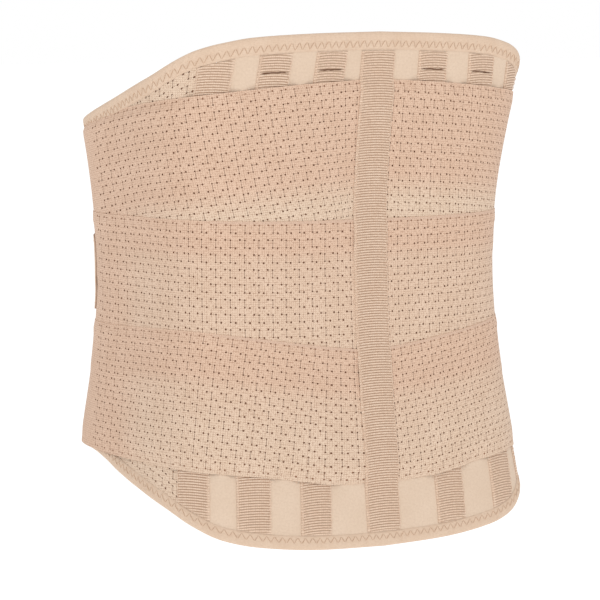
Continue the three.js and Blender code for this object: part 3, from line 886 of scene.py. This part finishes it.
binding("tape_top", "top_binding", TOP_EDGE, BINDING_LEG["top"], 1)
binding("tape_bottom", "bottom_binding", BOTTOM_EDGE, BINDING_LEG["bottom"], -1)

# Stay channels: ribbed webbing sewn flat along both sides, so that a stay can slide inside it.
# The four inner ones are open at a slit near the top, and the bands cover the middle of all six.
STAY_INSET = {"top": 0.0106, "bottom": 0.0080}
# The slit's size, its drop below the channel's end, and the raised lip round it
SLIT_WIDTH = 0.0155
SLIT_HEIGHT = 0.0009
SLIT_DROP = 0.0112
SLIT_DEPTH = 0.0007
SLIT_LIP = 0.0003
SLIT_LIP_REACH = 0.0022
# Painted shade in the slit's recess: the dark inside of the channel's mouth
SLIT_SHADE_COLOUR = (124, 92, 70)
RIB_PITCH = 0.00163
RIB_ROWS = 4
# Relief and painted shade over one rib, from the furrow above it to the next one
RIB_PROFILE = (-0.00055, -0.00016, 0.0, -0.00016)
RIB_GROOVE_SHADE = (1.0, 0.32, 0.0, 0.32)
# Painted shade in the grooves between the ribs
GROOVE_SHADE_COLOUR = (171, 138, 113)
# How far the ribs hang lower at the webbing's sides, and their small waves:
# height, turns in so many widths of the webbing, and drift from rib to rib
RIB_ARCH = 0.0007
RIB_WAVE = 0.00009
RIB_WAVES = (23.0, 41.0)
RIB_WAVE_WIDTHS = 7.0
RIB_WAVE_DRIFT = 90.0
WEBBING_COLUMNS = 8
# Lines of the sewn border, in from the webbing's side, how far each is drawn down,
# and how much of the ribs shows in it
SEWN_BORDER = (0.0, 0.0005, 0.0011, 0.0017)
SEWN_DROP = (0.0008, 0.0004, 0.0001, 0.0)
SEWN_RIBS = 0.6
# Stand-off of the webbing's inner side where it lies on the back panel
STAY_SEAT = 0.00125
# Length of the webbing's thinner ends, and how far their face comes down
END_DEPTH = 0.0022
END_DROP = 0.0008
WELD_DISTANCE = 0.00001


def webbing_material():
    """Ribbed webbing: painted shade in the grooves between the ribs, fine threads along it, and painted
    shade in the slits.
    """
    material, tree, shader, colour = cloth_material(
        "ribbed_webbing", pale=(238, 214, 192), deep=(232, 206, 183), gap_shade=(201, 170, 145),
        patches=80.0, threads=(720.0, 613.0), relief=0.0001,
    )
    # Painted shade in the grooves between the ribs
    ribbed = add_mix(tree, mesh_value(tree, "groove_shade"), colour, screen_colour(*GROOVE_SHADE_COLOUR))
    slit_shaded = add_mix(tree, mesh_value(tree, "slit"), ribbed, screen_colour(*SLIT_SHADE_COLOUR))
    tree.links.new(slit_shaded, shader.inputs["Base Color"])
    return material


webbing = webbing_material()


def webbing_piece(name, around_of, top, bottom, width, offset_of, slit_height=None):
    """A ribbed tape down the cloth, its ribs level and its ends cut along top and bottom."""
    border = np.array(SEWN_BORDER) / width
    middle = np.linspace(border[-1] - 0.5, 0.5 - border[-1], WEBBING_COLUMNS + 1)
    share = np.concatenate([border[:-1] - 0.5, middle, 0.5 - border[-2::-1]])
    high = top(share)
    low = bottom(share)
    ribs = math.ceil((high.max() - low.min() + RIB_ARCH) / RIB_PITCH) + 1
    rows = ribs * RIB_ROWS
    level = high.max() + RIB_ARCH - np.arange(rows + 1) * RIB_PITCH / RIB_ROWS
    turn = share[:, None] * math.tau / RIB_WAVE_WIDTHS + level * RIB_WAVE_DRIFT
    wave = np.mean([np.sin(count * turn) for count in RIB_WAVES], axis=0)
    height = level - RIB_ARCH * (2 * share[:, None]) ** 2 + RIB_WAVE * wave
    height = np.clip(height, low[:, None], high[:, None])
    around = around_of(height) + share[:, None] * width
    phase = np.arange(rows + 1) % RIB_ROWS
    from_side = ((0.5 - np.abs(share)) * width)[:, None]
    strength = np.where(from_side < SEWN_BORDER[-1], SEWN_RIBS, 1.0)
    drop = np.interp(from_side, SEWN_BORDER, SEWN_DROP)
    rib = strength * np.array(RIB_PROFILE)[phase] * (1 - drop / CLOTH) - drop
    groove_shade = strength * np.array(RIB_GROOVE_SHADE)[phase]
    # The slit is a shallow recess, marked so that the webbing paints it with shade
    slit = np.zeros_like(height)
    if slit_height is not None:
        away = np.abs(height - slit_height(share)[:, None])
        open_share = (np.abs(share) * width < SLIT_WIDTH / 2)[:, None]
        is_open = open_share & (away < SLIT_HEIGHT / 2)
        lip = SLIT_LIP * np.exp(-((away - SLIT_HEIGHT / 2) / SLIT_LIP_REACH) ** 2) * open_share
        rib = np.where(is_open, -SLIT_DEPTH, rib + lip)
        slit = is_open.astype(float)
        groove_shade = np.where(is_open, 0.0, groove_shade)
    to_end = np.minimum(high[:, None] - height, height - low[:, None])
    ending = 1 - ramp(to_end, 0.0, END_DEPTH)
    rib = rib * (1 - ending) - END_DROP * ending
    base = offset_of(height)
    faces = grid_faces(len(share) - 1, rows)
    outer = lay(around, height, base + CLOTH + rib).reshape(-1, 3)
    inner = lay(around, height, base).reshape(-1, 3)
    cloth = np.column_stack([np.repeat(share * width, rows + 1), height.ravel()])
    values = {"groove_shade": groove_shade.ravel(), "slit": slit.ravel()}
    piece = closed_cloth(name, cloth, outer, inner, faces, webbing, values)
    mesh = bmesh.new()
    mesh.from_mesh(piece.data)
    bmesh.ops.remove_doubles(mesh, verts=mesh.verts, dist=WELD_DISTANCE)
    mesh.to_mesh(piece.data)
    mesh.free()
    line = np.linspace(low.max(), high.min(), rows)
    paths = []
    for side in (-1, 1):
        sewn = around_of(line) + side * (width / 2 - SEWN_BORDER[2])
        paths.append(straight_stitches(sewn, line, offset_of(line) + CLOTH))
    stitches = stitch_piece(name + "_stitches", np.concatenate(paths), STITCH_RADIUS, thread)
    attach(piece, "root")
    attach(stitches, "root")
    return piece


def stay_channel(stay):
    has_slit = STAYS[stay][2]

    def around_of(height):
        return stay_around(stay, height)

    def offset_of(height):
        return np.full_like(height, STAY_SEAT)

    def end(edge, inset):
        return lambda share: meeting(lambda height: around_of(height) + share * STAY_WIDTH, edge) + inset

    top = end(TOP_EDGE, -STAY_INSET["top"])
    bottom = end(BOTTOM_EDGE, STAY_INSET["bottom"])
    slit_height = end(TOP_EDGE, -STAY_INSET["top"] - SLIT_DROP) if has_slit else None
    name = "stay_webbing_" + stay
    piece = webbing_piece(name, around_of, top, bottom, STAY_WIDTH, offset_of, slit_height)
    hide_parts("stay_channel_" + stay)


for stay in STAYS:
    stay_channel(stay)

# Elastic bands: three on each side, cut wide at the back, that fan out and lap like shingles.
# Each is perforated elastic, held under the middle strap and sewn to the flap on the flank,
# and its upper part looks deeper in colour where it lies double.
BAND_START = 0.001
BAND_FRONT = 10 / FRONT_LINES
BAND_OFFSET = 2 * LAYER
# A band that lies over another comes down from it in a ramp that starts just past its hem
LAP_CLEAR = 0.001
LAP_RAMP = 0.007
# Distance around and the tiles' width there, for the left (1) and the right (-1)
TILE_WIDTHS = {
    1: ((0.00, 0.0096), (0.06, 0.0091), (0.11, 0.0084), (0.15, 0.0094), (0.19, 0.0126), (0.30, 0.0136)),
    -1: ((0.00, 0.0079), (0.05, 0.0077), (0.10, 0.0070), (0.14, 0.0070), (0.20, 0.0095), (0.30, 0.0100)),
}
TILE_WIDTH_STEPS = 300
# Distances around at which the columns of holes lean fully, and at which they start to stand up again
LEAN_START = 0.055
LEAN_FADE = 0.200
# Least width of the plain strip below the last row of holes
HEM_CLEAR = 0.0009
# The band that it lies over, how far round its holes reach, whether their pairs are turned over,
# share of the doubled look by depth, and the edges as distance around and height.
# For the left (1) and the right (-1): rows of tiles, their height, and how far they lean out going down
BANDS = {
    "upper": {
        "over": None, "punched": 0.245, "turned": True,
        "rows": {1: 11, -1: 10}, "tile": {1: 0.00876, -1: 0.0095}, "lean": {1: -0.24, -1: 0.03},
        "double": ((0.000, 1.00), (0.060, 1.00), (0.076, 0.00), (0.120, 0.00)),
        "top": (
            (0.000, 0.1295), (0.060, 0.1258), (0.090, 0.1230), (0.110, 0.1208), (0.130, 0.1183),
            (0.178, 0.1120), (0.214, 0.1064), (0.234, 0.1026), (0.262, 0.0985), (0.310, 0.0960),
        ),
        "hem": ((0.000, 0.029), (0.125, 0.018), (0.210, 0.003), (0.310, -0.003)),
    },
    "middle": {
        "over": "upper", "punched": 0.236, "turned": False,
        "rows": {1: 10, -1: 10}, "tile": {1: 0.00935, -1: 0.0096}, "lean": {1: 0.02, -1: 0.0},
        "double": ((0.000, 1.00), (0.018, 1.00), (0.026, 0.55), (0.085, 0.30)),
        "top": (
            (0.000, 0.0400), (0.060, 0.0404), (0.110, 0.0414), (0.154, 0.0414), (0.226, 0.0402),
            (0.310, 0.0400),
        ),
        "hem": ((0.000, -0.066), (0.125, -0.061), (0.310, -0.059)),
    },
    "lower": {
        "over": "middle", "punched": 0.236, "turned": False,
        "rows": {1: 10, -1: 10}, "tile": {1: 0.0085, -1: 0.0086}, "lean": {1: 0.18, -1: 0.04},
        "double": ((0.000, 1.00), (0.025, 1.00), (0.034, 0.50), (0.060, 0.20)),
        "top": (
            (0.000, -0.0432), (0.015, -0.0420), (0.037, -0.0393), (0.056, -0.0364), (0.090, -0.0312),
            (0.118, -0.0284), (0.157, -0.0290), (0.211, -0.0315), (0.310, -0.0320),
        ),
        "hem": (
            (0.000, -0.1280), (0.038, -0.1260), (0.061, -0.1222), (0.090, -0.1178), (0.136, -0.1146),
            (0.173, -0.1142), (0.225, -0.1136), (0.252, -0.1130), (0.310, -0.1120),
        ),
    },
}
# Distances around between which a band takes the deeper, pinker tone all over, so it is darker towards the
# flanks
DEEP_TONE_FLANK = (0.160, 0.215)
# Depths of a band's thin upper edge, hem and front end, and the share of the cloth that is gone there
EDGE_DEPTH = 0.007
HEM_DEPTH = 0.012
FRONT_DEPTH = 0.014
EDGE_THIN = 0.75
# Depths below a band's top between which the band under it gets thin and its own rise comes down
COVERED_DEPTH = (0.002, 0.012)
# Distances around between which the lowest hem leaves the back panel
HEM_LOOSE = (0.170, 0.210)
# Rise of a band over the one under it, at its edge and further down
EDGE_RISE = 0.00125
LAP_RISE = 0.00045
# A sunk edge lies this far off the back panel, and comes up beside each stay channel
EDGE_GAP = 0.0001
STAY_MARGIN = 0.0015
DRAPE_WIDTH = 0.006
# Steps of a band's woven edge, the distances around between which it sinks into the band, and how far
SELVAGE_STEPS = 150
SELVAGE_FADE = (0.085, 0.130)
SELVAGE_SINK = 0.00012
# Stand-off from the band's face and drop below its top, round the woven edge of a band
SELVAGE_PROFILE = (
    (-0.00016, 0.0002), (0.00005, 0.0002), (0.00016, 0.0005), (0.00018, 0.0009), (0.00016, 0.0013),
    (0.00005, 0.0017), (-0.00016, 0.0017),
)
selvage_cloth, *_ = cloth_material(
    "woven_edge", pale=(218, 188, 166), deep=(212, 181, 159), gap_shade=(190, 156, 134),
    patches=60.0, threads=(800.0, 600.0), relief=0.0001,
)


def band_grid(band, side):
    """Distances around, heights and flat places of a band's points, and its triangles."""
    facts = BANDS[band]
    rows = facts["rows"][side]
    length = float(abs(flank_around(side, BAND_FRONT, 0.0))) - BAND_START
    places = np.linspace(0, length, TILE_WIDTH_STEPS + 1)
    tiles = np.cumsum(1 / curve(TILE_WIDTHS[side], places)) * places[1]
    tiles -= tiles[0]
    columns = round(tiles[-1])

    def column_start(column):
        return BAND_START + np.interp(column / columns, tiles / tiles[-1], places)

    punched = np.zeros((columns, rows + 1), bool)
    punched[:, :rows] = (column_start(np.arange(1, columns + 1)) < facts["punched"])[:, None]
    if facts["turned"]:
        punched = punched[::-1]
    points, triangles = tiled_cloth(punched)
    column, row = points.T
    if facts["turned"]:
        column = columns - column
    if facts["turned"] != (side < 0):
        triangles = [made[:, ::-1] for made in triangles]
    start = column_start(column)
    top = curve(facts["top"], start)
    fading = ramp(start, LEAN_FADE, BAND_START + length)
    lean = facts["lean"][side] * ramp(start, 0.0, LEAN_START) * (1 - fading)
    hem = curve(facts["hem"], start)
    for _ in range(EDGE_ROUNDS):
        hem = curve(facts["hem"], start + lean * (top - hem))
    full = np.minimum(rows * facts["tile"][side], top - hem - HEM_CLEAR)
    depth = np.where(row <= rows, row / rows * full, full + (row - rows) * (top - hem - full))
    around = side * (start + lean * depth)
    return around, top - depth, np.column_stack([start, depth]), triangles


def stay_rise(around, height):
    """1 over a stay channel and 0 beside it, with a smooth change between."""
    away = np.min([np.abs(around - stay_around(stay, height)) for stay in STAYS], axis=0)
    beside = STAY_WIDTH / 2 + STAY_MARGIN
    return 1 - ramp(away, beside, beside + DRAPE_WIDTH)


def band_sides(band, side, around, height, depth):
    """How far a band's inner and outer side stand off, from what it lies on."""
    over = BANDS[band]["over"]
    covers = [other for other in BANDS.values() if other["over"] == band]
    start = np.abs(around)
    on_panel = CLOTH + EDGE_GAP + (BAND_OFFSET - CLOTH - EDGE_GAP) * stay_rise(around, height)
    edge = 1 - ramp(depth, 0.0, EDGE_DEPTH)
    hem = 1 - ramp(height - curve(BANDS[band]["hem"], start), 0.0, HEM_DEPTH)
    front_end = abs(flank_around(side, BAND_FRONT, height))
    front = ramp(start, front_end - FRONT_DEPTH, front_end)
    sunk = hem * (1 - ramp(start, *HEM_LOOSE)) if band == "lower" else 0.0
    inner = BAND_OFFSET + (on_panel - BAND_OFFSET) * np.maximum(sunk, front)
    if over is None:
        inner = inner + (on_panel - inner) * edge
    else:
        lap_end = curve(BANDS[over]["hem"], start) - LAP_CLEAR
        rise = LAP_RISE + (EDGE_RISE - LAP_RISE) * (1 - ramp(depth, *COVERED_DEPTH))
        inner = inner + rise * ramp(height, lap_end - LAP_RAMP, lap_end)
    thin = np.maximum(np.maximum(edge, hem), front)
    for cover in covers:
        thin = np.maximum(thin, ramp(curve(cover["top"], start) - height, *COVERED_DEPTH))
    return inner, inner + CLOTH * (1 - EDGE_THIN * thin)


def selvage(band, side_name, side):
    """The woven upper edge of a band: a low rounded border with fine threads across it."""
    profile = np.array(SELVAGE_PROFILE)
    front = float(abs(flank_around(side, BAND_FRONT, 0.0)))
    around = np.linspace(BAND_START, front, SELVAGE_STEPS + 1)[:, None]
    height = curve(BANDS[band]["top"], around) - profile[:, 1]
    _, face = band_sides(band, side, side * around, height, profile[:, 1])
    fade = ramp(around, *SELVAGE_FADE)
    points = lay(side * around, height, face + profile[:, 0] * (1 - fade) - SELVAGE_SINK * fade)
    cloth = np.stack(np.broadcast_arrays(around, profile[:, 1], 0.0), axis=-1)
    piece = swept_piece(f"elastic_{band}_{side_name}_selvage", points, cloth, selvage_cloth)
    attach(piece, "root")
    return piece


def elastic_band(band, side_name, side):
    around, height, cloth, (face, plugs, lining) = band_grid(band, side)
    depth = cloth[:, 1]
    depths, shares = np.array(BANDS[band]["double"]).T
    double = np.interp(depth, depths, shares)
    # Towards the flanks the band takes the deeper tone all over
    double += (1 - double) * ramp(np.abs(around), *DEEP_TONE_FLANK)
    inner_offset, outer_offset = band_sides(band, side, around, height, depth)
    outer = lay(around, height, outer_offset)
    inner = lay(around, height, inner_offset)
    name = f"elastic_{band}_{side_name}"
    piece = closed_cloth(name, cloth, outer, inner, face, perforated, {"double": double}, plugs, lining)
    edges = [] if BANDS[band]["over"] is None else [selvage(band, side_name, side)]
    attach(piece, "root")
    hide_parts(f"{band}_band_{side_name}")


for band in BANDS:
    elastic_band(band, "left", 1)
    elastic_band(band, "right", -1)

# Middle strap: ribbed webbing down the middle of the back that covers the ends of all six bands.
# It follows their edges and laps, and is sewn down along both sides.
STRAP_WIDTH = 0.025
# Length of the rise before an edge, and how far and in how many places its bends are smoothed
STRAP_RAMP = 0.0030
STRAP_BLEND = 0.0008
STRAP_SPREAD = 5
# Stand-off of the strap's inner side over a band's outer edge, a band, a lap's edge and a lap
OVER_EDGE = 0.0017
OVER_BAND = 0.0043
OVER_LAP_EDGE = 0.0048
OVER_LAP = 0.0052
# From a lap's edge to where it is full
LAP_EDGE_DEPTH = 0.004


def center_strap():
    half = STRAP_WIDTH / 2
    upper, middle, lower = [
        (float(curve(facts["top"], half)), float(curve(facts["hem"], half))) for facts in BANDS.values()
    ]
    top_height = float(edge_height(TOP_EDGE, half)) - STAY_INSET["top"]
    bottom_height = float(edge_height(BOTTOM_EDGE, half)) + STAY_INSET["bottom"]
    steps = [
        (top_height, STAY_SEAT), (upper[0] + STRAP_RAMP, STAY_SEAT),
        (upper[0], OVER_EDGE), (upper[0] - EDGE_DEPTH, OVER_BAND),
    ]
    for lap_top, lap_end in ((middle[0], upper[1]), (lower[0], middle[1])):
        steps += [
            (lap_top + STRAP_RAMP, OVER_BAND), (lap_top, OVER_LAP_EDGE),
            (lap_top - LAP_EDGE_DEPTH, OVER_LAP), (lap_end - LAP_CLEAR, OVER_LAP),
            (lap_end - LAP_CLEAR - LAP_RAMP, OVER_BAND),
        ]
    steps += [
        (lower[1] + HEM_DEPTH, OVER_BAND), (lower[1], OVER_EDGE),
        (lower[1] - STRAP_RAMP, STAY_SEAT), (bottom_height, STAY_SEAT),
    ]
    heights, offsets = np.array(steps[::-1]).T

    def offset_of(height):
        spread = np.linspace(-STRAP_BLEND, STRAP_BLEND, STRAP_SPREAD)
        return np.mean([np.interp(height + shift, heights, offsets) for shift in spread], axis=0)

    piece = webbing_piece(
        "strap_webbing", lambda height: np.zeros_like(height),
        lambda share: np.full_like(share, top_height), lambda share: np.full_like(share, bottom_height),
        STRAP_WIDTH, offset_of,
    )
    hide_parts("center_strap")


center_strap()

# Stage: a plain pale floor well below the brace, and a camera where the photograph's stood.
# The light is a white room and one large soft lamp above the camera.
FLOOR_HEIGHT = -0.45
FLOOR_HALF = 30.0
FLOOR_COLOUR = (0.93, 0.93, 0.93, 1.0)
FLOOR_ROUGHNESS = 0.9
FLOOR_GLOW = 0.40
WHITE = (1.0, 1.0, 1.0, 1.0)
CAMERA_AZIMUTH = math.radians(149.0)
CAMERA_ELEVATION = math.radians(5.5)
CAMERA_DISTANCE = 2.0
CAMERA_AIM = Vector((0.0, 0.0, -0.020))
CAMERA_ASIDE = 0.0060
SENSOR_WIDTH = 36.0
IMAGE_PIXELS = 600
METRES_PER_PIXEL = 0.000667
# Strength of the white room as it lights the brace, and as the camera sees it
ROOM_LIGHT = 0.75
ROOM_SEEN = 1.0
KEY_POWER = 13.4
KEY_SIZE = 2.2
# The lamp's distance, and how far its direction leans aside and up from the camera's
KEY_DISTANCE = 2.4
KEY_ASIDE = 0.10
KEY_RISE = 0.74

floor_mesh = bpy.data.meshes.new("floor")
floor_signs = ((-1, -1), (1, -1), (1, 1), (-1, 1))
floor_corners = [(x * FLOOR_HALF, y * FLOOR_HALF, FLOOR_HEIGHT) for x, y in floor_signs]
floor_mesh.from_pydata(floor_corners, [], [(0, 1, 2, 3)])
floor = bpy.data.objects.new("floor", floor_mesh)
bpy.context.scene.collection.objects.link(floor)
floor_paint = bpy.data.materials.new("floor_paint")
floor_paint.use_nodes = True
floor_shader = floor_paint.node_tree.nodes["Principled BSDF"]
floor_shader.inputs["Base Color"].default_value = FLOOR_COLOUR
floor_shader.inputs["Roughness"].default_value = FLOOR_ROUGHNESS
floor_shader.inputs["Emission Color"].default_value = WHITE
floor_shader.inputs["Emission Strength"].default_value = FLOOR_GLOW
floor_mesh.materials.append(floor_paint)

back = Vector((
    math.sin(CAMERA_AZIMUTH) * math.cos(CAMERA_ELEVATION),
    -math.cos(CAMERA_AZIMUTH) * math.cos(CAMERA_ELEVATION),
    math.sin(CAMERA_ELEVATION),
))
aside = Vector((math.cos(CAMERA_AZIMUTH), math.sin(CAMERA_AZIMUTH), 0.0))
camera_data = bpy.data.cameras.new("camera")
camera_data.sensor_width = SENSOR_WIDTH
camera_data.lens = SENSOR_WIDTH * CAMERA_DISTANCE / (METRES_PER_PIXEL * IMAGE_PIXELS)
camera = bpy.data.objects.new("camera", camera_data)
camera.location = CAMERA_AIM + aside * CAMERA_ASIDE + back * CAMERA_DISTANCE
camera.rotation_mode = "QUATERNION"
camera.rotation_quaternion = (-back).to_track_quat("-Z", "Y")
bpy.context.scene.collection.objects.link(camera)
bpy.context.scene.camera = camera

key_data = bpy.data.lights.new("key_light", "AREA")
key_data.energy = KEY_POWER
key_data.size = KEY_SIZE
key = bpy.data.objects.new("key_light", key_data)
key_direction = (back + aside * KEY_ASIDE + Vector((0.0, 0.0, KEY_RISE))).normalized()
key.location = key_direction * KEY_DISTANCE
key.rotation_mode = "QUATERNION"
key.rotation_quaternion = (-key_direction).to_track_quat("-Z", "Y")
bpy.context.scene.collection.objects.link(key)

world = bpy.data.worlds.new("studio")
bpy.context.scene.world = world
world.use_nodes = True
world_tree = world.node_tree
world_tree.nodes.clear()
lit = add_node(world_tree, "ShaderNodeBackground", {"Color": WHITE, "Strength": ROOM_LIGHT})
seen = add_node(world_tree, "ShaderNodeBackground", {"Color": WHITE, "Strength": ROOM_SEEN})
path = add_node(world_tree, "ShaderNodeLightPath", {})
shown = add_node(
    world_tree, "ShaderNodeMixShader",
    {0: path.outputs["Is Camera Ray"], 1: lit.outputs[0], 2: seen.outputs[0]},
)
add_node(world_tree, "ShaderNodeOutputWorld", {"Surface": shown.outputs[0]})
bpy.context.scene.view_settings.view_transform = "Standard"
